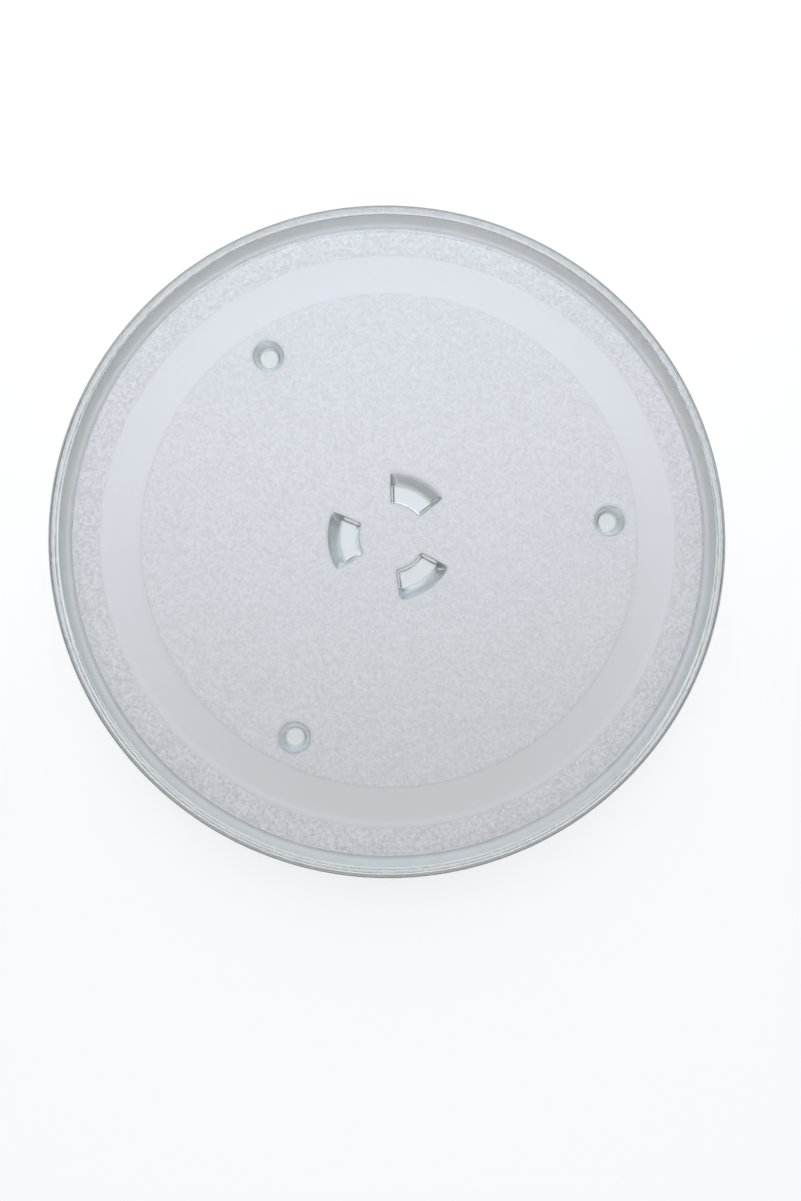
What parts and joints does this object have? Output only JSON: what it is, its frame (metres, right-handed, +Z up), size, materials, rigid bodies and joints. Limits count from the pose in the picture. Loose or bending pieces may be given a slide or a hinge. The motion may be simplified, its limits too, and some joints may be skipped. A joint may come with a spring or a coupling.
{
  "type": "microwave turntable plate",
  "caption": "Round pressed-glass microwave turntable plate with a low raised rim, a smooth roller track, round feet and arc-shaped drive lugs underneath.",
  "frame": {"origin": "centre of the plate, on the plane that its feet stand on", "axes": "+Z up along the turning axis, towards the dish side; +X from the centre towards one foot"},
  "size_m": [0.288, 0.288, 0.0193],
  "materials": {
    "pressed_glass": "clear pressed glass, polished on top, fine stipple underneath"
  },
  "bodies": {
    "root": {"turntable_plate": "pressed_glass"}
  },
  "joints": []
}
